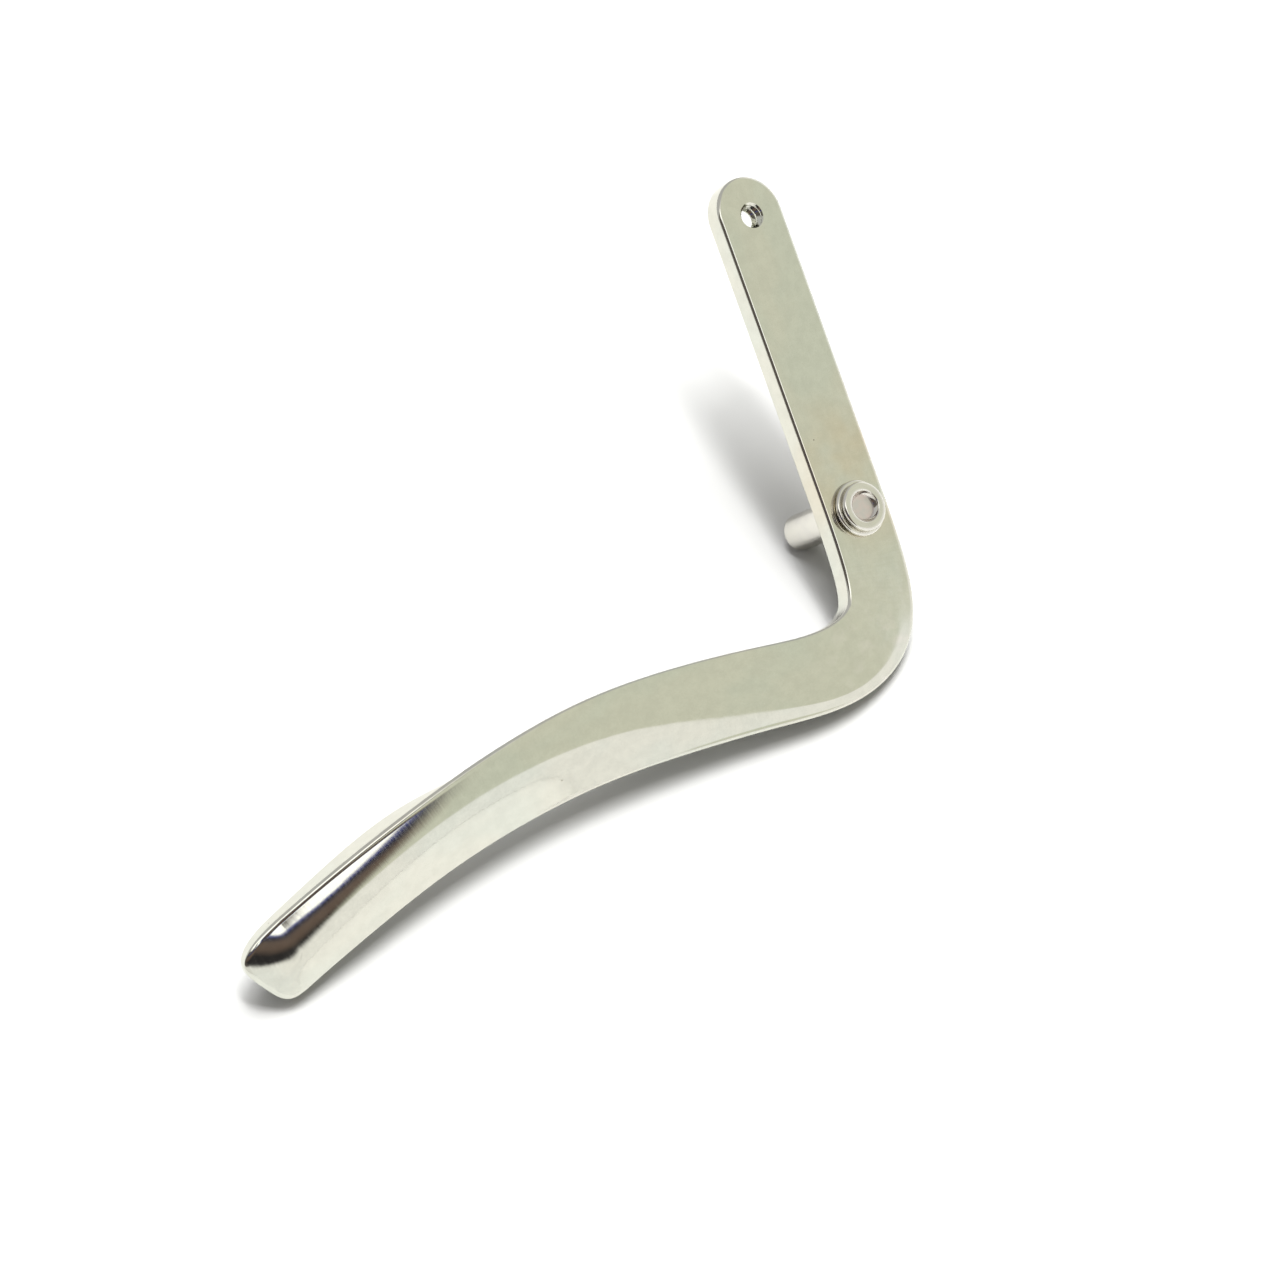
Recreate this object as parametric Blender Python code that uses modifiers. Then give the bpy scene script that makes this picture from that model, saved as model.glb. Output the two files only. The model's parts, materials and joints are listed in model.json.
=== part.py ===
"""Casement window fastener: a cranked operating lever, its pivot pin and the pin's washer.

The pieces are modelled in the lever's own frame, in millimetres. The pivot axis is z, the arm's front
face is at z = 0, the arm points along +y and the handle leaves the bend towards -x. An empty then
lays that frame down on the ground, on the three points that the fastener rests on.
"""
import math

import bmesh
import bpy
import numpy as np
from mathutils import Matrix, Vector

NAME = "casement_window_fastener"
MM = 0.001

# Arm
PLATE = 3.2             # thickness of the flat arm
ARM_WIDTH = 11.0
TIP_CENTRE = 43.7       # centre of the tip's round end, from the pivot axis
HOLE_REACH = 43.5       # tapped hole, from the pivot axis
HOLE_RADIUS = 1.6       # inside the thread
HOLE_CHAMFER = 0.25
HOLE_STEPS = 24         # segments round the tapped hole
PIVOT_HOLE_RADIUS = 2.6
PIVOT_HOLE_STEPS = 32
CUT_OVER = 1.0          # how far the cutters stand out of the arm

# Pivot pin and washer
PIN_RUN = 0.15          # clearance of the pin in its hole, and between neighbouring faces
NECK_RADIUS = PIVOT_HOLE_RADIUS - PIN_RUN
SHAFT_RADIUS = 2.65
SHAFT_LENGTH = 11.6     # behind the arm
SHAFT_CHAMFER = 0.35
HOLLOW_RADIUS = 1.85
HOLLOW_FLOOR = 1.1
MOUTH_RADIUS = 2.15
MOUTH_ROUND = 0.3       # rounding of the hollow's mouth
RIM_RADIUS = 3.55
RIM_TOP = 1.9
RIM_THICK = 0.85
WASHER_RADIUS = 4.03
WASHER_TOP = 0.9
WASHER_EDGE = 0.35
TURNED_STEPS = 40       # segments round the pin and the washer

# Control sections of a smooth cubic curve, from the tip of the arm, round the bend, to the grip's
# end: centre x, y, z, twist in degrees, width, thickness, height of the ridge along the front face,
# the ridge's place across it, from -1 at the lower edge to +1 at the upper edge, how softly the
# ridge is rounded, and how far the upper back edge is drawn in.
MID = -PLATE / 2
SECTIONS = [
    (0.0, TIP_CENTRE, MID, 0.0, ARM_WIDTH, PLATE, 0.0, 0.0, 0.0, 0.0),
    (0.0, 30.0, MID, 0.0, ARM_WIDTH, PLATE, 0.0, 0.0, 0.0, 0.0),
    (0.0, 16.0, MID, 0.0, ARM_WIDTH, PLATE, 0.0, 0.0, 0.0, 0.0),
    (0.0, 5.0, MID, 0.0, ARM_WIDTH, PLATE, 0.0, 0.0, 0.0, 0.0),
    (0.0, -6.0, MID, 0.0, ARM_WIDTH, PLATE, 0.0, 0.0, 0.0, 0.0),
    (-1.2, -16.6, MID, 0.0, ARM_WIDTH, PLATE, 0.0, -0.8, 0.0, 0.0),
    (-11.5, -20.4, -1.4, 0.0, ARM_WIDTH, PLATE, 0.3, -0.88, 0.1, 0.2),
    (-22.0, -18.9, -4.7, 3.0, 11.4, 3.2, 0.8, -0.55, 0.15, 0.3),
    (-34.0, -17.8, -8.1, 7.0, 11.9, 3.3, 1.0, -0.1, 0.3, 1.0),
    (-47.0, -17.4, -11.4, 13.0, 11.9, 3.5, 1.2, 0.15, 0.5, 2.2),
    (-60.0, -19.1, -15.0, 19.5, 11.6, 4.0, 1.3, 0.25, 0.9, 3.2),
    (-73.0, -22.3, -18.4, 20.0, 10.8, 4.5, 1.7, 0.35, 2.0, -0.2),
    (-86.0, -27.1, -21.8, 15.5, 10.4, 4.7, 2.1, 0.38, 4.0, 0.2),
    (-92.6, -29.9, -24.0, 14.0, 10.2, 4.7, 2.1, 0.36, 4.8, 0.3),
]
EDGE_RADIUS = 0.55      # rounding of the long edges
BODY_STEPS = 64         # sections along the lever
CAP_STEPS = 7           # sections round each end
FACE_POINTS = 9         # points across the front and the back
ARC_POINTS = 3          # segments in each rounded edge
HEADING_STEP = 1e-3     # stretch of the curve over which its direction is taken

# Ends: exponent of the superellipse on the upper and lower side, length over half the width, slant,
# and how far the faces dome
TIP_END = {"upper": 2.0, "lower": 2.0, "length": 1.0, "slant": 0.0, "dome": 0.0}
GRIP_END = {"upper": 3.0, "lower": 4.6, "length": 1.35, "slant": 0.25, "dome": 0.6}
DOME_POWER = 1.4

# How the fastener lies on the ground
DOWN = Vector((0.30, -0.53, -0.79))     # roughly down, in the lever's frame
HEADING = math.radians(23.4)            # arm's direction over the ground, anticlockwise from +Y


def collection(name):
    made = bpy.data.collections.new(name)
    bpy.context.scene.collection.children.link(made)
    return made


def material(name, colour, roughness, metallic):
    made = bpy.data.materials.new(name)
    made.use_nodes = True
    shader = made.node_tree.nodes["Principled BSDF"]
    shader.inputs["Base Color"].default_value = (*colour, 1.0)
    shader.inputs["Roughness"].default_value = roughness
    shader.inputs["Metallic"].default_value = metallic
    return made


def arc(centre_r, centre_z, radius, start, end, segments):
    """Points of a round stretch of a turned profile; angles in degrees from +r towards +z."""
    angles = np.radians(np.linspace(start, end, segments + 1))
    return [(centre_r + radius * math.cos(a), centre_z + radius * math.sin(a)) for a in angles]


def turned(name, profile, steps, into, closed=False):
    """A turned solid: a profile at +X, down its outer side, with a Screw modifier about Z."""
    verts = [(r * MM, 0.0, z * MM) for r, z in profile]
    edges = [(i, i + 1) for i in range(len(verts) - 1)]
    if closed:
        edges.append((len(verts) - 1, 0))
    mesh = bpy.data.meshes.new(name)
    mesh.from_pydata(verts, edges, [])
    made = bpy.data.objects.new(name, mesh)
    into.objects.link(made)
    screw = made.modifiers.new("turn", "SCREW")
    screw.steps = steps
    screw.render_steps = steps
    screw.use_merge_vertices = True
    screw.merge_threshold = 1e-6
    screw.use_smooth_shade = True
    return made


def spline(controls, at):
    """Uniform cubic B-spline through a row of controls, ending on its first and last one."""
    rows = np.array(controls)
    rows = np.vstack([2 * rows[0] - rows[1], rows, 2 * rows[-1] - rows[-2]])
    first = min(int(at), len(controls) - 2)
    f = at - first
    weights = np.array([(1 - f) ** 3, 3 * f ** 3 - 6 * f ** 2 + 4,
                        -3 * f ** 3 + 3 * f ** 2 + 3 * f + 1, f ** 3])
    return weights @ rows[first:first + 4] / 6


def ridge(across, height, place, softness):
    """Height of the softly ridged front face; across and place run from -1 to +1."""
    rising = height * (1 + across) / (1 + place)
    falling = height * (1 - across) / (1 - place)
    return (rising + falling - math.hypot(rising - falling, softness)) / 2


def rim_points(width, thickness):
    """One turn round a section: (side, distance in from the outline, height, is front)."""
    half = width / 2
    flat = half - EDGE_RADIUS
    level = thickness / 2 - EDGE_RADIUS
    turn = np.linspace(0, math.pi / 2, ARC_POINTS + 1)[1:]
    points = []
    for front in (1, -1):
        for across in np.linspace(-1, 1, FACE_POINTS) * front:
            side = 1 if across >= 0 else -1
            points.append((side, half - abs(across) * flat, front * thickness / 2, front))
        for angle in turn:
            inset = EDGE_RADIUS * (1 - math.sin(angle))
            points.append((front, inset, front * (level + EDGE_RADIUS * math.cos(angle)), front))
        for angle in turn[::-1]:
            inset = EDGE_RADIUS * (1 - math.sin(angle))
            points.append((front, inset, -front * (level + EDGE_RADIUS * math.cos(angle)), -front))
    return points


def lever_section(at, end=None, turn=0.0):
    """World points of the section at one place, or round an end, turn radians towards its point."""
    values = spline(SECTIONS, at)
    centre = values[:3]
    twist, width, thickness, height, place, softness, drawn_in = values[3:]
    ahead = spline(SECTIONS, min(at + HEADING_STEP, len(SECTIONS) - 1))[:3]
    behind = spline(SECTIONS, max(at - HEADING_STEP, 0))[:3]
    along = Vector(ahead - behind).normalized()
    normal = Vector((0, 0, 1))
    normal = (normal - along * normal.dot(along)).normalized()
    upper = along.cross(normal)
    lean = Matrix.Rotation(-math.radians(twist), 3, along)
    normal, upper = lean @ normal, lean @ upper
    outwards = -1 if at == 0 else 1
    points = []
    for side, inset, level, front in rim_points(width, thickness):
        reach = width / 2 - inset
        sideways, forwards = reach * side, 0.0
        if end:
            power = 2 / (end["upper"] if side > 0 else end["lower"])
            sideways *= max(math.cos(turn), 0.0) ** power
            forwards = reach * math.sin(turn) ** power
        fall = (forwards / (width / 2)) ** DOME_POWER
        across = min(1.0, max(-1.0, sideways / (width / 2 - EDGE_RADIUS)))
        if front > 0:
            level += ridge(across, height, place, softness) * (1 - fall)
        else:
            sideways -= drawn_in * (1 + across) / 2
        if end:
            level *= 1 - end["dome"] * fall
            forwards = end["length"] * forwards + end["slant"] * sideways * math.sin(turn)
        offset = upper * sideways + normal * level + along * (forwards * outwards)
        points.append((Vector(centre) + offset) * MM)
    return points


def lever_mesh():
    """The lever as one loft, from the round tip of the arm to the domed end of the grip."""
    last = len(SECTIONS) - 1
    turns = np.linspace(0, math.pi / 2, CAP_STEPS + 1)[1:]
    rings = [lever_section(0, TIP_END, turn) for turn in turns[::-1]]
    rings += [lever_section(at) for at in np.linspace(0, last, BODY_STEPS + 1)]
    rings += [lever_section(last, GRIP_END, turn) for turn in turns]
    shape = bmesh.new()
    verts = [[shape.verts.new(point) for point in ring] for ring in rings]
    for ring, following in zip(verts, verts[1:]):
        for i in range(len(ring)):
            j = (i + 1) % len(ring)
            shape.faces.new((ring[i], ring[j], following[j], following[i]))
    bmesh.ops.remove_doubles(shape, verts=shape.verts, dist=1e-7)
    # At a point of the outline the upper and lower halves meet, so faces there fold to nothing.
    bmesh.ops.dissolve_degenerate(shape, edges=shape.edges, dist=1e-7)
    bmesh.ops.recalc_face_normals(shape, faces=shape.faces)
    mesh = bpy.data.meshes.new("lever")
    shape.to_mesh(mesh)
    shape.free()
    mesh.shade_smooth()
    return mesh


def cut(target, cutter):
    cutter.hide_render = True
    cutter.display_type = "WIRE"
    boolean = target.modifiers.new(cutter.name, "BOOLEAN")
    boolean.operation = "DIFFERENCE"
    boolean.object = cutter


def make_lever(into, cutters):
    lever = bpy.data.objects.new("lever", lever_mesh())
    into.objects.link(lever)
    front, back = CUT_OVER, -PLATE - CUT_OVER
    flare = HOLE_RADIUS + HOLE_CHAMFER + CUT_OVER
    tapped = turned("tapped_hole_cutter", [
        (0, front), (flare, front), (HOLE_RADIUS, -HOLE_CHAMFER),
        (HOLE_RADIUS, HOLE_CHAMFER - PLATE), (flare, back), (0, back),
    ], HOLE_STEPS, cutters)
    tapped.location = (0, HOLE_REACH * MM, 0)
    pivot = turned("pivot_hole_cutter", [
        (0, front), (PIVOT_HOLE_RADIUS, front), (PIVOT_HOLE_RADIUS, back), (0, back),
    ], PIVOT_HOLE_STEPS, cutters)
    cut(lever, tapped)
    cut(lever, pivot)
    return lever


def make_pin(into):
    """Shaft, shouldered neck and a hollow end rolled outwards into a rim."""
    roll = RIM_THICK / 2
    under = RIM_TOP - RIM_THICK
    shoulder = -PLATE - PIN_RUN
    rear = -PLATE - SHAFT_LENGTH
    profile = [(0, HOLLOW_FLOOR), (HOLLOW_RADIUS, HOLLOW_FLOOR)]
    profile += [(HOLLOW_RADIUS, RIM_TOP - 2 * MOUTH_ROUND), (MOUTH_RADIUS, RIM_TOP - MOUTH_ROUND)]
    profile += arc(MOUTH_RADIUS + MOUTH_ROUND, RIM_TOP - MOUTH_ROUND, MOUTH_ROUND, 150, 90, 2)
    profile += arc(RIM_RADIUS - roll, RIM_TOP - roll, roll, 90, -90, 6)
    profile += [(NECK_RADIUS, under), (NECK_RADIUS, shoulder), (SHAFT_RADIUS, shoulder)]
    profile += [(SHAFT_RADIUS, rear + SHAFT_CHAMFER), (SHAFT_RADIUS - SHAFT_CHAMFER, rear), (0, rear)]
    return turned("pivot_pin", profile, TURNED_STEPS, into)


def make_washer(into):
    inner = NECK_RADIUS + PIN_RUN
    profile = arc(WASHER_RADIUS - WASHER_EDGE, WASHER_TOP - WASHER_EDGE, WASHER_EDGE, 90, 0, 4)
    profile += [(WASHER_RADIUS, PIN_RUN), (inner, PIN_RUN), (inner, WASHER_TOP)]
    return turned("pivot_washer", profile, TURNED_STEPS, into, closed=True)


def lay_down(parts):
    """The transform that rests the parts on the ground, centred on the origin."""
    bpy.context.view_layer.update()
    graph = bpy.context.evaluated_depsgraph_get()
    points = []
    for part in parts:
        mesh = part.evaluated_get(graph).to_mesh()
        points += [part.matrix_world @ vert.co for vert in mesh.vertices]
    hull = bmesh.new()
    for point in points:
        hull.verts.new(point)
    bmesh.ops.convex_hull(hull, input=hull.verts)
    hull.normal_update()
    down = max((face.normal.copy() for face in hull.faces), key=lambda normal: normal.dot(DOWN))
    hull.free()
    settle = down.rotation_difference(Vector((0, 0, -1))).to_matrix()
    arm = settle @ Vector((0, 1, 0))
    facing = math.atan2(-arm.x, arm.y)
    settle = Matrix.Rotation(HEADING - facing, 3, "Z") @ settle
    laid = np.array([settle @ point for point in points])
    low, high = laid.min(axis=0), laid.max(axis=0)
    shift = Vector((-(low[0] + high[0]) / 2, -(low[1] + high[1]) / 2, -low[2]))
    return Matrix.Translation(shift) @ settle.to_4x4()


def main():
    for old in list(bpy.data.objects):
        bpy.data.objects.remove(old, do_unlink=True)
    parts = collection(NAME)
    cutters = collection("cutters")
    lever = make_lever(parts, cutters)
    pin = make_pin(parts)
    washer = make_washer(parts)
    lever.data.materials.append(material("lever_nickel", (0.67, 0.66, 0.60), 0.08, 1.0))
    pin.data.materials.append(material("pin_nickel", (0.64, 0.63, 0.58), 0.10, 1.0))
    washer.data.materials.append(material("washer_nickel", (0.66, 0.65, 0.60), 0.09, 1.0))

    pieces = [lever, pin, washer]
    frame = bpy.data.objects.new("lever_frame", None)
    parts.objects.link(frame)
    frame.matrix_world = lay_down(pieces)
    for piece in pieces + list(cutters.objects):
        piece.parent = frame


main()
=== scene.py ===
"""Looks of the casement window fastener: plated lever, pivot pin and washer on a white table.

The pieces are made in the lever's own frame, in millimetres, like the design they stand for: the
pivot axis is z, the arm's front face is at z = 0, the arm points along +y and the handle leaves the
bend towards -x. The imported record's joint and mount say where that frame lies.
"""
import json
import math

import bmesh
import bpy
import numpy as np
from mathutils import Matrix, Vector
from mathutils.kdtree import KDTree


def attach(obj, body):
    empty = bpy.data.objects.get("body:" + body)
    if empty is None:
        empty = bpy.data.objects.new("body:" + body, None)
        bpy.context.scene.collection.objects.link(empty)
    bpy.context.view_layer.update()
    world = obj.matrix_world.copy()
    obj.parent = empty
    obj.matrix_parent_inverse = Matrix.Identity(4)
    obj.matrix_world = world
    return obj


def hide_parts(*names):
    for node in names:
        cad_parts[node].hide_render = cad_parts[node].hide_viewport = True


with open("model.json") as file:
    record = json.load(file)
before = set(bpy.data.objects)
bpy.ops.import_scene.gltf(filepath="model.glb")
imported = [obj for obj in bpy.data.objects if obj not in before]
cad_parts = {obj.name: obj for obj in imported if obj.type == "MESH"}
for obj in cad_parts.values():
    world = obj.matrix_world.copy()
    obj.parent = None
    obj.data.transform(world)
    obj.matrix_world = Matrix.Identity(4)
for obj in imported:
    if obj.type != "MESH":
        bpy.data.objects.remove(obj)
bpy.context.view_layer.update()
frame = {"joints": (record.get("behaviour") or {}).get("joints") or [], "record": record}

MM = 0.001

# Arm
PLATE = 3.2
ARM_WIDTH = 11.0
TIP_CENTRE = 43.7
HOLE_REACH = 43.5
MOUNT_ACROSS = 0.6          # where the record's tip_front mount lies on the arm
MOUNT_ALONG = 37.0
PIVOT_HOLE_RADIUS = 2.6

# Thread in the tapped hole: 20 turns to the inch
THREAD_PITCH = 25.4 / 20
THREAD_MINOR = 1.5
THREAD_MAJOR = 1.95
THREAD_MOUTH = 1.85
THREAD_AROUND = 96
THREAD_LEVELS = 24          # rows of points to each turn
THREAD_OVER = 0.6           # how far the cutter stands out of the arm
CREST_WIDTH = 1.25          # with the slope, how much of a turn is at full depth
FLANK_SLOPE = 2.9

# Control sections of a smooth cubic curve, from the tip of the arm, round the bend, to the grip's
# end: centre x, y, z, twist in degrees, width, thickness, height of the ridge along the front face,
# the ridge's place across it, from -1 at the lower edge to +1 at the upper edge, how softly the
# ridge is rounded, and how far the upper back edge is drawn in.
MID = -PLATE / 2
SECTIONS = [
    (0.0, TIP_CENTRE, MID, 0.0, ARM_WIDTH, PLATE, 0.0, 0.0, 0.0, 0.0),
    (0.0, 30.0, MID, 0.0, ARM_WIDTH, PLATE, 0.0, 0.0, 0.0, 0.0),
    (0.0, 16.0, MID, 0.0, ARM_WIDTH, PLATE, 0.0, 0.0, 0.0, 0.0),
    (0.0, 5.0, MID, 0.0, ARM_WIDTH, PLATE, 0.0, 0.0, 0.0, 0.0),
    (0.0, -6.0, MID, 0.0, ARM_WIDTH, PLATE, 0.0, 0.0, 0.0, 0.0),
    (-1.2, -16.6, MID, 0.0, ARM_WIDTH, PLATE, 0.0, -0.8, 0.0, 0.0),
    (-11.5, -20.4, -1.4, 0.0, ARM_WIDTH, PLATE, 0.3, -0.88, 0.1, 0.2),
    (-22.0, -18.9, -4.7, 3.0, 11.4, 3.2, 0.8, -0.55, 0.15, 0.3),
    (-34.0, -17.8, -8.1, 7.0, 11.9, 3.3, 1.0, -0.1, 0.3, 1.0),
    (-47.0, -17.4, -11.4, 13.0, 11.9, 3.5, 1.2, 0.15, 0.5, 2.2),
    (-60.0, -19.1, -15.0, 19.5, 11.6, 4.0, 1.3, 0.25, 0.9, 3.2),
    (-73.0, -22.3, -18.4, 20.0, 10.8, 4.5, 1.7, 0.35, 2.0, -0.2),
    (-86.0, -27.1, -21.8, 15.5, 10.4, 4.7, 2.1, 0.38, 4.0, 0.2),
    (-92.6, -29.9, -24.0, 14.0, 10.2, 4.7, 2.1, 0.36, 4.8, 0.3),
]
EDGE_RADIUS = 0.55
BODY_STEPS = 300
CAP_STEPS = 28
FACE_POINTS = 41
ARC_POINTS = 10
FLOW_STATIONS = 800
HEADING_STEP = 1e-3
MERGE_DISTANCE = 1e-4
CUT_OVER = 1.0              # how far the pivot hole's cutter stands out of the arm
TIP_END = {"upper": 2.0, "lower": 2.0, "length": 1.0, "slant": 0.0, "dome": 0.0}
GRIP_END = {"upper": 3.0, "lower": 4.6, "length": 1.35, "slant": 0.25, "dome": 0.6}
DOME_POWER = 1.4

# Pin and washer
TURNED_STEPS = 128
PIN_RUN = 0.15
NECK_RADIUS = PIVOT_HOLE_RADIUS - PIN_RUN
SHAFT_RADIUS = 2.65
SHAFT_LENGTH = 11.6
SHAFT_CHAMFER = 0.35
HOLLOW_RADIUS = 1.85
HOLLOW_FLOOR = 1.1
MOUTH_RADIUS = 2.15
MOUTH_FLARE = 0.3
FLOOR_CORNER = 0.15
SHOULDER_CHAMFER = 0.1
RIM_RADIUS = 3.55
RIM_TOP = 1.9
RIM_THICK = 0.85
WASHER_RADIUS = 4.03
WASHER_TOP = 0.9

# Camera, in the lever's frame: its place, the way it looks and its upward side
CAMERA_PLACE = Vector((-303.7, -14.2, 391.6))
CAMERA_LOOK = Vector((0.5560, 0.0147, -0.8311))
CAMERA_UP = Vector((0.2727, 0.9413, 0.1991))
CAMERA_LENS = 100.0
SENSOR = 36.0


def lever_frame():
    """The lever's own frame, in the record's millimetres, from the joint and the tip's mount."""
    joint = frame["joints"][0]
    mounts = {mount["name"]: mount for mount in frame["record"]["mounts"]}
    origin = Vector(joint["pos_m"])
    normal = Vector(joint["axis"]).normalized()
    reach = Vector(mounts["tip_front"]["pos_m"]) - origin
    reach = (reach - normal * reach.dot(normal)).normalized()
    along = Matrix.Rotation(math.atan2(MOUNT_ACROSS, MOUNT_ALONG), 3, normal) @ reach
    across = along.cross(normal)
    turn = Matrix((across, along, normal)).transposed()
    return Matrix.Translation(origin) @ turn.to_4x4() @ Matrix.Scale(MM, 4)


PLACE = lever_frame()


def finish_piece(name, mesh, body, node, look, sharp=math.radians(35)):
    """Lays a mesh made in the lever's frame in the row frame and hands it to its body."""
    corners = np.empty(len(mesh.vertices) * 3)
    mesh.vertices.foreach_get("co", corners)
    mesh.attributes.new("place", "FLOAT_VECTOR", "POINT").data.foreach_set("vector", corners)
    mesh.transform(PLACE)
    mesh.shade_smooth()
    mesh.set_sharp_from_angle(angle=sharp)
    piece = bpy.data.objects.new(name, mesh)
    bpy.context.scene.collection.objects.link(piece)
    mesh.materials.clear()
    mesh.materials.append(look)
    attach(piece, body)
    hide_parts(node)
    return piece


# ---------------------------------------------------------------- turned shapes

def arc(centre_r, centre_z, radius, start, end, segments):
    """Points of a round stretch of a turned profile; angles in degrees from +r towards +z."""
    angles = np.radians(np.linspace(start, end, segments + 1))
    return [(centre_r + radius * math.cos(a), centre_z + radius * math.sin(a)) for a in angles]


def bands(rows, count):
    """Faces that join rows of points, each row a closed ring of count points, to the next row."""
    faces = []
    for r in range(rows - 1):
        for i in range(count):
            j = (i + 1) % count
            faces.append((r * count + i, r * count + j, (r + 1) * count + j, (r + 1) * count + i))
    return faces


def turned(name, profile, steps=TURNED_STEPS, closed=False):
    """Mesh of a profile turned about Z: down its outer side, from the axis back to the axis."""
    shape = bmesh.new()
    verts = [shape.verts.new((r, 0.0, z)) for r, z in profile]
    edges = [shape.edges.new(pair) for pair in zip(verts, verts[1:])]
    if closed:
        edges.append(shape.edges.new((verts[-1], verts[0])))
    bmesh.ops.spin(shape, geom=verts + edges, cent=(0, 0, 0), axis=(0, 0, 1),
                   angle=2 * math.pi, steps=steps, use_merge=False, use_duplicate=False)
    bmesh.ops.remove_doubles(shape, verts=shape.verts, dist=MERGE_DISTANCE)
    bmesh.ops.recalc_face_normals(shape, faces=shape.faces)
    mesh = bpy.data.meshes.new(name)
    shape.to_mesh(mesh)
    shape.free()
    return mesh


# ---------------------------------------------------------------- the lever

def spline(controls, at):
    """Uniform cubic B-spline through a row of controls, ending on its first and last one."""
    rows = np.array(controls)
    rows = np.vstack([2 * rows[0] - rows[1], rows, 2 * rows[-1] - rows[-2]])
    first = min(int(at), len(controls) - 2)
    f = at - first
    weights = np.array([(1 - f) ** 3, 3 * f ** 3 - 6 * f ** 2 + 4,
                        -3 * f ** 3 + 3 * f ** 2 + 3 * f + 1, f ** 3])
    return weights @ rows[first:first + 4] / 6


def ridge(across, height, place, softness):
    """Height of the softly ridged front face; across and place run from -1 to +1."""
    rising = height * (1 + across) / (1 + place)
    falling = height * (1 - across) / (1 - place)
    return (rising + falling - np.hypot(rising - falling, softness)) / 2


def rim_points(width, thickness):
    """One turn round a section, as rows of side, distance in from the outline, height and face."""
    half = width / 2
    flat = half - EDGE_RADIUS
    level = thickness / 2 - EDGE_RADIUS
    turn = np.linspace(0, math.pi / 2, ARC_POINTS + 1)[1:]
    points = []
    for front in (1, -1):
        for across in np.linspace(-1, 1, FACE_POINTS) * front:
            side = 1 if across >= 0 else -1
            points.append((side, half - abs(across) * flat, front * thickness / 2, front))
        for angle in turn:
            inset = EDGE_RADIUS * (1 - math.sin(angle))
            points.append((front, inset, front * (level + EDGE_RADIUS * math.cos(angle)), front))
        for angle in turn[::-1]:
            inset = EDGE_RADIUS * (1 - math.sin(angle))
            points.append((front, inset, -front * (level + EDGE_RADIUS * math.cos(angle)), -front))
    return np.array(points)


def lever_axes(at):
    """The section's own axes at one place: its centre, along, front-facing and upper directions."""
    values = spline(SECTIONS, at)
    ahead = spline(SECTIONS, min(at + HEADING_STEP, len(SECTIONS) - 1))[:3]
    behind = spline(SECTIONS, max(at - HEADING_STEP, 0))[:3]
    along = Vector(ahead - behind).normalized()
    normal = Vector((0, 0, 1))
    normal = (normal - along * normal.dot(along)).normalized()
    upper = along.cross(normal)
    lean = Matrix.Rotation(-math.radians(values[3]), 3, along)
    return values[:3], np.array(along), np.array(lean @ normal), np.array(lean @ upper)


def lever_section(at, end=None, turn=0.0):
    """Points of the section at one place, or round an end, turn radians towards its point."""
    centre, along, normal, upper = lever_axes(at)
    width, thickness, height, place, softness, drawn_in = spline(SECTIONS, at)[4:]
    side, inset, level, front = rim_points(width, thickness).T
    reach = width / 2 - inset
    sideways, forwards = reach * side, np.zeros_like(reach)
    if end:
        power = 2 / np.where(side > 0, end["upper"], end["lower"])
        sideways = sideways * max(math.cos(turn), 0.0) ** power
        forwards = reach * math.sin(turn) ** power
    fall = (forwards / (width / 2)) ** DOME_POWER
    across = np.clip(sideways / (width / 2 - EDGE_RADIUS), -1, 1)
    level = np.where(front > 0, level + ridge(across, height, place, softness) * (1 - fall), level)
    sideways = np.where(front > 0, sideways, sideways - drawn_in * (1 + across) / 2)
    if end:
        level = level * (1 - end["dome"] * fall)
        forwards = end["length"] * forwards + end["slant"] * sideways * math.sin(turn)
    forwards = forwards * (-1 if at == 0 else 1)
    return centre + np.outer(sideways, upper) + np.outer(level, normal) + np.outer(forwards, along)


def lever_blank():
    """The lever before drilling, as one loft from the arm's round tip to the grip's domed end."""
    last = len(SECTIONS) - 1
    turns = np.linspace(0, math.pi / 2, CAP_STEPS + 1)[1:]
    rings = [lever_section(0, TIP_END, turn) for turn in turns[::-1]]
    rings += [lever_section(at) for at in np.linspace(0, last, BODY_STEPS + 1)]
    rings += [lever_section(last, GRIP_END, turn) for turn in turns]
    mesh = bpy.data.meshes.new("lever_blank")
    mesh.from_pydata(np.vstack(rings).tolist(), [], bands(len(rings), len(rings[0])))
    shape = bmesh.new()
    shape.from_mesh(mesh)
    bmesh.ops.remove_doubles(shape, verts=shape.verts, dist=MERGE_DISTANCE)
    bmesh.ops.dissolve_degenerate(shape, edges=shape.edges, dist=MERGE_DISTANCE)
    bmesh.ops.recalc_face_normals(shape, faces=shape.faces)
    shape.to_mesh(mesh)
    shape.free()
    return mesh


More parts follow.
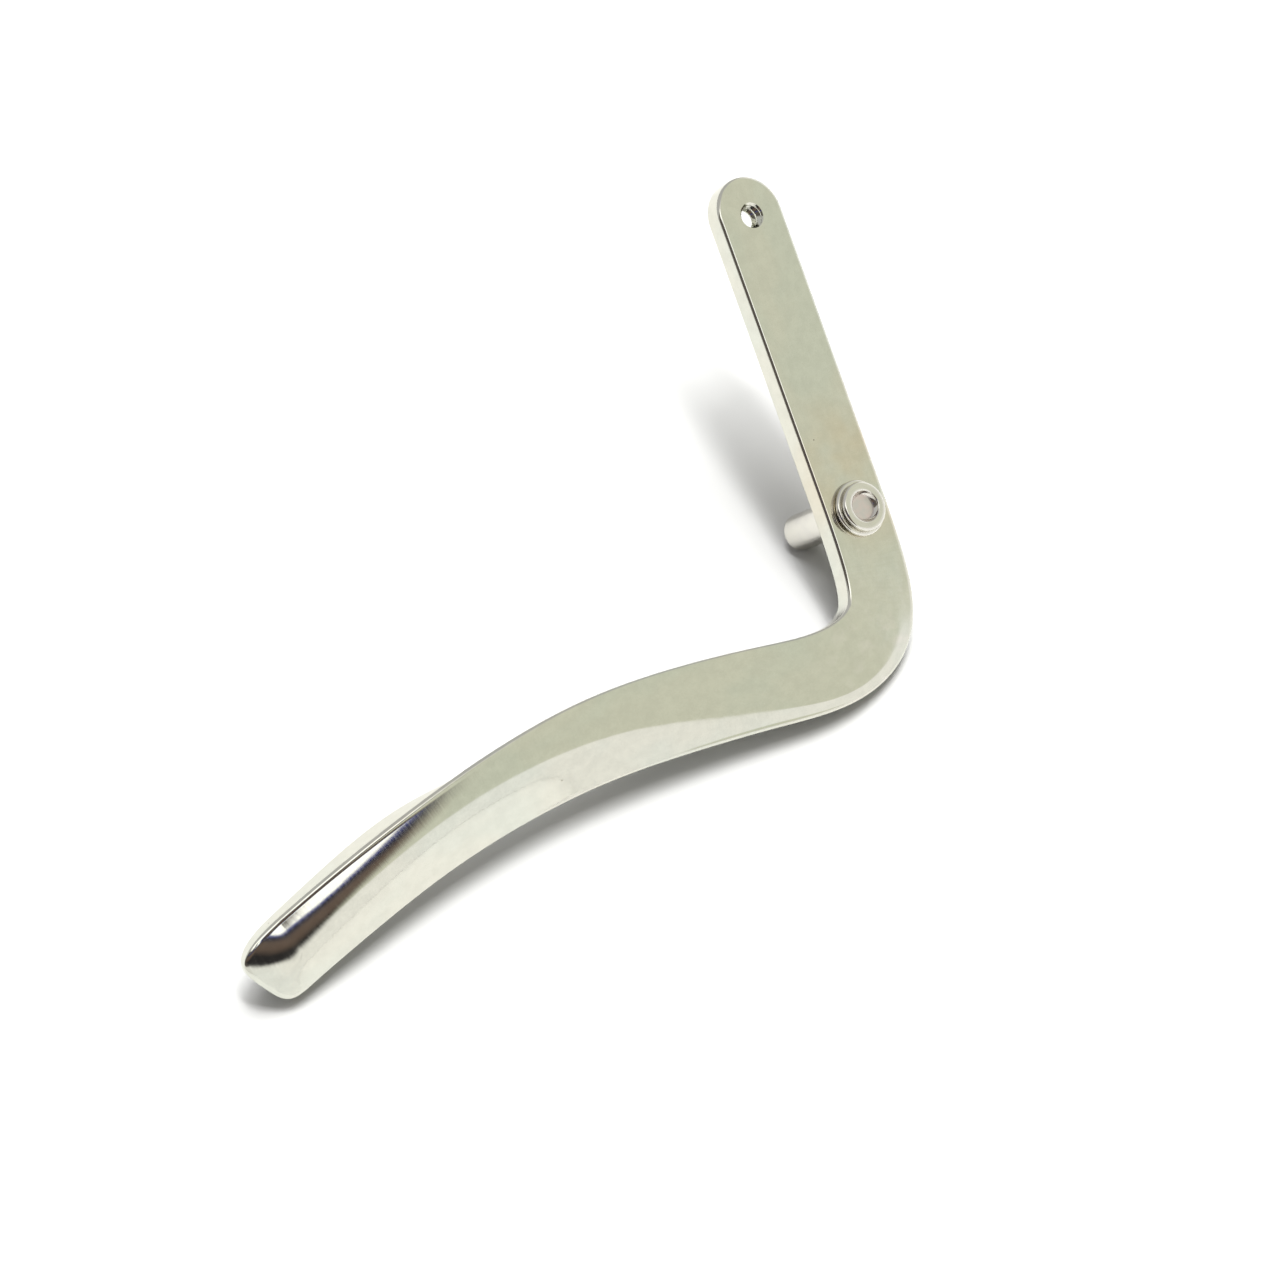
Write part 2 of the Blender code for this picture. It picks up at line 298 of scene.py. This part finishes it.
def thread_cutter():
    """A screw's outer shape, with a flare at both faces: what the tap takes out of the arm."""
    levels = np.arange(-PLATE - THREAD_OVER, THREAD_OVER + 0.001, THREAD_PITCH / THREAD_LEVELS)
    angles = np.linspace(0, 2 * math.pi, THREAD_AROUND, endpoint=False)
    z, a = np.meshgrid(levels, angles, indexing="ij")
    phase = (z / THREAD_PITCH + a / (2 * math.pi)) % 1.0
    tooth = np.clip(CREST_WIDTH - np.abs(phase - 0.5) * FLANK_SLOPE, 0, 1)
    radius = THREAD_MINOR + (THREAD_MAJOR - THREAD_MINOR) * tooth
    mouth = THREAD_MOUTH + np.maximum(z, -PLATE - z)
    radius = np.maximum(radius, mouth)
    points = np.stack([radius * np.cos(a), radius * np.sin(a), z], axis=-1).reshape(-1, 3)
    rows = len(levels)
    faces = bands(rows, THREAD_AROUND)
    faces.append(tuple(range(THREAD_AROUND))[::-1])
    faces.append(tuple(range((rows - 1) * THREAD_AROUND, rows * THREAD_AROUND)))
    mesh = bpy.data.meshes.new("thread")
    mesh.from_pydata(points.tolist(), [], faces)
    mesh.transform(Matrix.Translation((0, HOLE_REACH, 0)))
    return mesh


def drill(blank, cutters):
    """The blank with each cutter's shape taken out of it."""
    work = bpy.data.objects.new("drilling", blank)
    bpy.context.scene.collection.objects.link(work)
    tools = []
    for cutter in cutters:
        tool = bpy.data.objects.new(cutter.name, cutter)
        bpy.context.scene.collection.objects.link(tool)
        cut = work.modifiers.new(cutter.name, "BOOLEAN")
        cut.operation = "DIFFERENCE"
        cut.object = tool
        tools.append(tool)
    bpy.context.view_layer.update()
    finished = work.evaluated_get(bpy.context.evaluated_depsgraph_get())
    drilled = bpy.data.meshes.new_from_object(finished)
    drilled.name = "lever_plated"
    for used in [work, *tools]:
        bpy.data.objects.remove(used)
    return drilled


def flow_along(mesh):
    """Gives each point its distance along the lever's middle, across it and above it."""
    last = len(SECTIONS) - 1
    stations = [lever_axes(at) for at in np.linspace(0, last, FLOW_STATIONS)]
    tree = KDTree(len(stations))
    for i, station in enumerate(stations):
        tree.insert(station[0], i)
    tree.balance()
    centres = np.array([station[0] for station in stations])
    runs = np.concatenate([[0.0], np.cumsum(np.linalg.norm(np.diff(centres, axis=0), axis=1))])
    flow = []
    for vert in mesh.vertices:
        i = tree.find(vert.co)[1]
        centre, along, normal, upper = stations[i]
        offset = np.array(vert.co) - centre
        flow += [runs[i] + offset @ along, offset @ upper, offset @ normal]
    mesh.attributes.new("flow", "FLOAT_VECTOR", "POINT").data.foreach_set("vector", flow)


def make_lever(look):
    top, bottom = CUT_OVER, -PLATE - CUT_OVER
    hole = turned("pivot_hole", [
        (0, top), (PIVOT_HOLE_RADIUS, top), (PIVOT_HOLE_RADIUS, bottom), (0, bottom)])
    mesh = drill(lever_blank(), [thread_cutter(), hole])
    flow_along(mesh)
    return finish_piece("lever_plated", mesh, "lever", "lever", look)


# ---------------------------------------------------------------- pin and washer

def make_pin(look):
    roll = RIM_THICK / 2
    under = RIM_TOP - RIM_THICK
    shoulder = -PLATE - PIN_RUN
    rear = -PLATE - SHAFT_LENGTH
    profile = [(0, HOLLOW_FLOOR), (HOLLOW_RADIUS - FLOOR_CORNER, HOLLOW_FLOOR)]
    profile += [(HOLLOW_RADIUS, HOLLOW_FLOOR + FLOOR_CORNER)]
    profile += [(HOLLOW_RADIUS, RIM_TOP - 2 * MOUTH_FLARE), (MOUTH_RADIUS, RIM_TOP - MOUTH_FLARE)]
    profile += arc(MOUTH_RADIUS + MOUTH_FLARE, RIM_TOP - MOUTH_FLARE, MOUTH_FLARE, 150, 90, 6)
    profile += arc(RIM_RADIUS - roll, RIM_TOP - roll, roll, 90, -90, 24)
    profile += [(NECK_RADIUS, under), (NECK_RADIUS, shoulder)]
    profile += [(SHAFT_RADIUS - SHOULDER_CHAMFER, shoulder)]
    profile += [(SHAFT_RADIUS, shoulder - SHOULDER_CHAMFER)]
    profile += arc(SHAFT_RADIUS - SHAFT_CHAMFER, rear + SHAFT_CHAMFER, SHAFT_CHAMFER, 0, -90, 8)
    profile += [(0, rear)]
    mesh = turned("pivot_pin_turned", profile)
    return finish_piece("pivot_pin_turned", mesh, "pin", "pivot_pin", look)


def make_washer(look):
    inner = NECK_RADIUS + PIN_RUN
    edge = (WASHER_TOP - PIN_RUN) / 2
    profile = arc(WASHER_RADIUS - edge, WASHER_TOP - edge, edge, 90, -90, 16)
    profile += [(inner, PIN_RUN), (inner, WASHER_TOP)]
    mesh = turned("pivot_washer_rolled", profile, closed=True)
    return finish_piece("pivot_washer_rolled", mesh, "pin", "pivot_washer", look)


# ---------------------------------------------------------------- materials

def node(tree, kind, inputs=None, **settings):
    """A new node with its settings; each input takes another node's output or a plain value."""
    made = tree.nodes.new(kind)
    for key, value in settings.items():
        setattr(made, key, value)
    for key, value in (inputs or {}).items():
        if isinstance(value, bpy.types.NodeSocket):
            tree.links.new(value, made.inputs[key])
        else:
            made.inputs[key].default_value = value
    return made


def math_node(tree, operation, first, second=None):
    inputs = {0: first} if second is None else {0: first, 1: second}
    return node(tree, "ShaderNodeMath", inputs, operation=operation).outputs[0]


def noise(tree, place, stretch, detail=2.0, roughness=0.5):
    """Fractal noise on a place in millimetres; stretch is cells per millimetre along each axis."""
    scaled = node(tree, "ShaderNodeVectorMath", {0: place, 1: stretch}, operation="MULTIPLY")
    made = node(tree, "ShaderNodeTexNoise", {
        "Vector": scaled.outputs[0], "Scale": 1.0, "Detail": detail, "Roughness": roughness})
    return made.outputs["Fac"]


def remap(tree, value, low, high, out_low=0.0, out_high=1.0):
    made = node(tree, "ShaderNodeMapRange", {
        "Value": value, "From Min": low, "From Max": high, "To Min": out_low, "To Max": out_high},
        interpolation_type="SMOOTHSTEP")
    return made.outputs["Result"]


def mixed(tree, factor, first, second):
    made = node(tree, "ShaderNodeMix", {"Factor": factor, "A": first, "B": second}, data_type="RGBA")
    return made.outputs["Result"]


def bumped(tree, height, distance, strength, normal=None):
    inputs = {"Height": height, "Distance": distance, "Strength": strength}
    if normal is not None:
        inputs["Normal"] = normal
    return node(tree, "ShaderNodeBump", inputs).outputs["Normal"]


def rgba(red, green, blue):
    return (red, green, blue, 1.0)


def place_of(tree, name):
    return node(tree, "ShaderNodeAttribute", attribute_name=name).outputs["Vector"]


def new_look(name):
    look = bpy.data.materials.new(name)
    look.use_nodes = True
    shader = look.node_tree.nodes["Principled BSDF"]
    shader.inputs["Metallic"].default_value = 1.0
    return look, look.node_tree, shader


NICKEL = rgba(0.675, 0.665, 0.585)
NICKEL_GREEN = rgba(0.65, 0.658, 0.585)
NICKEL_TAN = rgba(0.67, 0.615, 0.50)
NICKEL_BARE = rgba(0.72, 0.70, 0.635)
PIT_DARK = rgba(0.30, 0.27, 0.23)
NICKEL_PIN = rgba(0.69, 0.67, 0.62)
SEAT_GREY = rgba(0.60, 0.57, 0.53)
SEAT_PINK = rgba(0.66, 0.58, 0.54)


def lever_nickel():
    """Plating on the pressed lever: cloudy tints, fine strokes across the handle, a few pits."""
    look, tree, shader = new_look("lever_nickel_plate")
    flow = place_of(tree, "flow")
    place = place_of(tree, "place")

    clouds = remap(tree, noise(tree, flow, (0.07, 0.12, 0.1), 3.0), 0.42, 0.62)
    colour = mixed(tree, clouds, NICKEL, NICKEL_GREEN)
    near_pin = node(tree, "ShaderNodeVectorMath", {0: place, 1: (2.5, 5.0, 0.0)}, operation="DISTANCE")
    tan = remap(tree, near_pin.outputs["Value"], 15.0, 4.0)
    tan = math_node(tree, "MULTIPLY", tan, remap(tree, noise(tree, place, (0.12, 0.12, 0.12)), 0.35, 0.6))
    colour = mixed(tree, tan, colour, NICKEL_TAN)
    near_bend = node(tree, "ShaderNodeVectorMath", {0: place, 1: (-5.0, -19.0, -1.0)},
                     operation="DISTANCE")
    worn = remap(tree, near_bend.outputs["Value"], 13.0, 3.0)
    rubbed = remap(tree, noise(tree, place, (0.3, 0.35, 0.3), 4.0), 0.5, 0.68)
    worn = math_node(tree, "MULTIPLY", worn, rubbed)
    colour = mixed(tree, worn, colour, NICKEL_BARE)
    mottle = remap(tree, noise(tree, flow, (0.5, 0.6, 0.5), 4.0, 0.65), 0.3, 0.7, 0.96, 1.03)
    grain = remap(tree, noise(tree, flow, (5.0, 5.0, 5.0), 2.0), 0.3, 0.7, 0.985, 1.01)
    shade = math_node(tree, "MULTIPLY", mottle, grain)
    colour = node(tree, "ShaderNodeVectorMath", {0: colour, "Scale": shade}, operation="SCALE").outputs[0]

    cells = node(tree, "ShaderNodeTexVoronoi", {"Vector": flow, "Scale": 0.3, "Randomness": 1.0})
    spots = math_node(tree, "LESS_THAN", cells.outputs["Distance"], 0.035)
    rare = node(tree, "ShaderNodeSeparateColor", {"Color": cells.outputs["Color"]})
    spots = math_node(tree, "MULTIPLY", spots, math_node(tree, "GREATER_THAN", rare.outputs["Red"], 0.8))
    colour = mixed(tree, spots, colour, PIT_DARK)
    tree.links.new(colour, shader.inputs["Base Color"])

    strokes = noise(tree, flow, (3.2, 0.22, 0.5), 3.0, 0.6)
    roughness = remap(tree, strokes, 0.3, 0.7, 0.075, 0.125)
    tree.links.new(roughness, shader.inputs["Roughness"])
    waves = noise(tree, flow, (0.16, 0.3, 0.3), 2.0)
    normal = bumped(tree, waves, 0.05 * MM, 0.35)
    normal = bumped(tree, strokes, 0.004 * MM, 0.6, normal)
    tree.links.new(normal, shader.inputs["Normal"])
    return look


def turned_nickel(name, tint, seat=None):
    """Plating on a turned piece: fine rings round its axis, and a duller seat inside the hollow."""
    look, tree, shader = new_look(name)
    place = place_of(tree, "place")
    apart = node(tree, "ShaderNodeSeparateXYZ", {0: place})
    flat = node(tree, "ShaderNodeCombineXYZ", {"X": apart.outputs["X"], "Y": apart.outputs["Y"]})
    away = node(tree, "ShaderNodeVectorMath", {0: flat.outputs[0]}, operation="LENGTH").outputs["Value"]
    lathe = node(tree, "ShaderNodeCombineXYZ", {"X": away, "Y": apart.outputs["Z"]}).outputs[0]
    rings = noise(tree, lathe, (6.0, 6.0, 1.0), 2.0)
    clouds = remap(tree, noise(tree, place, (0.5, 0.5, 0.5), 3.0), 0.35, 0.65)
    colour = mixed(tree, clouds, tint, NICKEL_BARE)
    rough = remap(tree, rings, 0.3, 0.7, 0.08, 0.14)
    if seat is not None:
        inside = math_node(tree, "MULTIPLY", math_node(tree, "LESS_THAN", away, HOLLOW_RADIUS - 0.02),
                           math_node(tree, "GREATER_THAN", apart.outputs["Z"], 0.0))
        dull = mixed(tree, remap(tree, noise(tree, place, (0.9, 0.9, 0.9), 4.0), 0.35, 0.65), *seat)
        colour = mixed(tree, inside, colour, dull)
        rough = math_node(tree, "ADD", rough, math_node(tree, "MULTIPLY", inside, 0.28))
    tree.links.new(colour, shader.inputs["Base Color"])
    tree.links.new(rough, shader.inputs["Roughness"])
    tree.links.new(bumped(tree, rings, 0.006 * MM, 0.5), shader.inputs["Normal"])
    return look


# ---------------------------------------------------------------- stage

TABLE_SIZE = 12.0


def make_table():
    half = TABLE_SIZE / 2
    mesh = bpy.data.meshes.new("table")
    corners = [(-half, -half, 0), (half, -half, 0), (half, half, 0), (-half, half, 0)]
    mesh.from_pydata(corners, [], [(0, 1, 2, 3)])
    table = bpy.data.objects.new("table", mesh)
    bpy.context.scene.collection.objects.link(table)
    look = bpy.data.materials.new("white_table")
    look.use_nodes = True
    shader = look.node_tree.nodes["Principled BSDF"]
    shader.inputs["Base Color"].default_value = (0.4, 0.4, 0.396, 1)
    shader.inputs["Roughness"].default_value = 0.6
    shader.inputs["Specular IOR Level"].default_value = 0.0
    mesh.materials.append(look)


# The studio, as patches painted over one another on the sky: colour, azimuth from and to, elevation
# from and to, and the width of the soft edge, in degrees. Azimuth runs from +Y towards +X.
STUDIO_BASE = (1.0, 0.98, 0.95)
STUDIO = [
    ("back_wall", (0.6, 0.6, 0.61), (-110, 60), (-90, 90), 10),
    ("right_backdrop", (1.12, 1.12, 1.10), (20, 160), (-90, 30), 6),
    ("right_wall", (0.80, 0.815, 0.70), (20, 160), (25, 68), 3),
    ("soft_box", (1.8, 1.8, 1.8), (119, 215), (54, 84), 3),
    ("camera_side", (0.13, 0.115, 0.105), (150, 250), (14, 66), 6),
]
WORLD_STRENGTH = 1.0


def soft_range(tree, value, low, high, edge):
    """1 between low and high, in degrees, fading to 0 over an edge's width on both sides."""
    rise = remap(tree, value, math.radians(low - edge / 2), math.radians(low + edge / 2))
    fall = remap(tree, value, math.radians(high + edge / 2), math.radians(high - edge / 2))
    return math_node(tree, "MULTIPLY", rise, fall)


def around(tree, azimuth, centre):
    """The azimuth counted from a patch's centre, between -pi and pi."""
    shifted = math_node(tree, "SUBTRACT", azimuth, math.radians(centre))
    inputs = {0: shifted, 1: math.pi, 2: -math.pi}
    return node(tree, "ShaderNodeMath", inputs, operation="WRAP").outputs[0]


def make_world():
    world = bpy.data.worlds.new("studio")
    bpy.context.scene.world = world
    world.use_nodes = True
    tree = world.node_tree
    background = tree.nodes["Background"]
    sky = node(tree, "ShaderNodeTexCoord").outputs["Generated"]
    apart = node(tree, "ShaderNodeSeparateXYZ", {0: sky})
    elevation = math_node(tree, "ARCSINE", apart.outputs["Z"])
    azimuth = math_node(tree, "ARCTAN2", apart.outputs["X"], apart.outputs["Y"])
    colour = rgba(*STUDIO_BASE)
    for name, tint, (left, right), (low, high), edge in STUDIO:
        half = (right - left) / 2
        across = soft_range(tree, around(tree, azimuth, (left + right) / 2), -half, half, edge)
        mask = math_node(tree, "MULTIPLY", across, soft_range(tree, elevation, low, high, edge))
        colour = mixed(tree, mask, colour, rgba(*tint))
        colour.node.name = name
    tree.links.new(colour, background.inputs["Color"])
    background.inputs["Strength"].default_value = WORLD_STRENGTH


# The dark room behind the camera, which only the plated surfaces see: a curved screen round the
# grip. Its left edge slants, and its colours go by elevation.
SCREEN_RADIUS = 0.3
SCREEN_AZIMUTH = (112, 215)
SCREEN_ELEVATION = (4, 54.5)
SCREEN_SLANT = 0.7
SCREEN_COLOURS = {
    4: (0.03, 0.028, 0.03), 26: (0.03, 0.028, 0.03), 36: (0.16, 0.115, 0.095),
    44: (0.17, 0.125, 0.105), 50: (0.04, 0.04, 0.06), 52.5: (0.08, 0.09, 0.3), 55: (0.25, 0.27, 1.0)}
SCREEN_RISE_FROM = 148      # past this azimuth the low edge rises
SCREEN_RISE = 0.4
SCREEN_SIDE_FADE = 12.0
SCREEN_LOW_FADE = 9.0
SCREEN_TOP_FADE = 1.5


def make_screen():
    grip = PLACE @ Vector(SECTIONS[-3][:3])
    across = np.arange(SCREEN_AZIMUTH[0], SCREEN_AZIMUTH[1] + 0.5, 1.0)
    up = np.arange(SCREEN_ELEVATION[0], SCREEN_ELEVATION[1] + 0.25, 0.5)
    points, cover, colours = [], [], []
    for el in up:
        colour = [np.interp(el, list(SCREEN_COLOURS), [c[k] for c in SCREEN_COLOURS.values()])
                  for k in range(3)]
        left = across[0] + (up[-1] - el) * SCREEN_SLANT
        for az in across:
            e, a = math.radians(el), math.radians(az)
            points.append(grip + Vector((math.sin(a), math.cos(a), math.tan(e))) * SCREEN_RADIUS)
            side = min(az - left, across[-1] - az) / SCREEN_SIDE_FADE
            low = up[0] + max(az - SCREEN_RISE_FROM, 0) * SCREEN_RISE
            ends = min(side, (el - low) / SCREEN_LOW_FADE, (up[-1] - el) / SCREEN_TOP_FADE, 1.0)
            ends = max(ends, 0.0)
            cover.append(ends * ends * (3 - 2 * ends))
            colours += [*colour, 1.0]
    count = len(across)
    faces = [(r * count + i, r * count + i + 1, (r + 1) * count + i + 1, (r + 1) * count + i)
             for r in range(len(up) - 1) for i in range(count - 1)]
    mesh = bpy.data.meshes.new("dark_screen")
    mesh.from_pydata(points, [], faces)
    mesh.attributes.new("cover", "FLOAT", "POINT").data.foreach_set("value", cover)
    mesh.attributes.new("glow", "FLOAT_COLOR", "POINT").data.foreach_set("color", colours)
    screen = bpy.data.objects.new("dark_screen", mesh)
    bpy.context.scene.collection.objects.link(screen)
    look = bpy.data.materials.new("dark_screen")
    look.use_nodes = True
    tree = look.node_tree
    tree.nodes.clear()
    paint = node(tree, "ShaderNodeAttribute", attribute_name="glow").outputs["Color"]
    mask = node(tree, "ShaderNodeAttribute", attribute_name="cover").outputs["Fac"]
    glow = node(tree, "ShaderNodeEmission", {"Color": paint}).outputs[0]
    clear = node(tree, "ShaderNodeBsdfTransparent").outputs[0]
    faded = node(tree, "ShaderNodeMixShader", {"Fac": mask, 1: clear, 2: glow}).outputs[0]
    node(tree, "ShaderNodeOutputMaterial", {"Surface": faded})
    mesh.materials.append(look)
    screen.visible_camera = False
    screen.visible_diffuse = False
    screen.visible_shadow = False
    screen.visible_transmission = False


def make_light(name, place, size, energy):
    """A soft rectangular light aimed at the middle of the table, which the plating does not mirror."""
    data = bpy.data.lights.new(name, "AREA")
    data.shape = "RECTANGLE"
    data.size, data.size_y = size
    data.energy = energy
    light = bpy.data.objects.new(name, data)
    bpy.context.scene.collection.objects.link(light)
    light.location = place
    light.rotation_euler = (-light.location).to_track_quat("-Z", "Y").to_euler()
    light.visible_glossy = False


def make_camera():
    data = bpy.data.cameras.new("camera")
    data.lens = CAMERA_LENS
    data.sensor_width = SENSOR
    data.clip_start = 0.01
    data.clip_end = 50
    camera = bpy.data.objects.new("camera", data)
    bpy.context.scene.collection.objects.link(camera)
    turn = Matrix((CAMERA_LOOK.cross(CAMERA_UP), CAMERA_UP, -CAMERA_LOOK)).transposed()
    aim = PLACE.to_quaternion().to_matrix() @ turn
    camera.matrix_world = Matrix.LocRotScale(PLACE @ CAMERA_PLACE, aim, None)
    bpy.context.scene.camera = camera


make_camera()
make_lever(lever_nickel())
make_pin(turned_nickel("pin_nickel_plate", NICKEL_PIN, (SEAT_GREY, SEAT_PINK)))
make_washer(turned_nickel("washer_nickel_plate", NICKEL_PIN))
make_table()
make_world()
make_screen()
make_light("overhead_strip", place=(0.3, 0.3, 2.98), size=(1.4, 0.3), energy=95.0)
make_light("back_fill", place=(0.1, 1.1, 2.7), size=(2.0, 1.5), energy=150.0)
bpy.context.scene.view_settings.view_transform = "Standard"
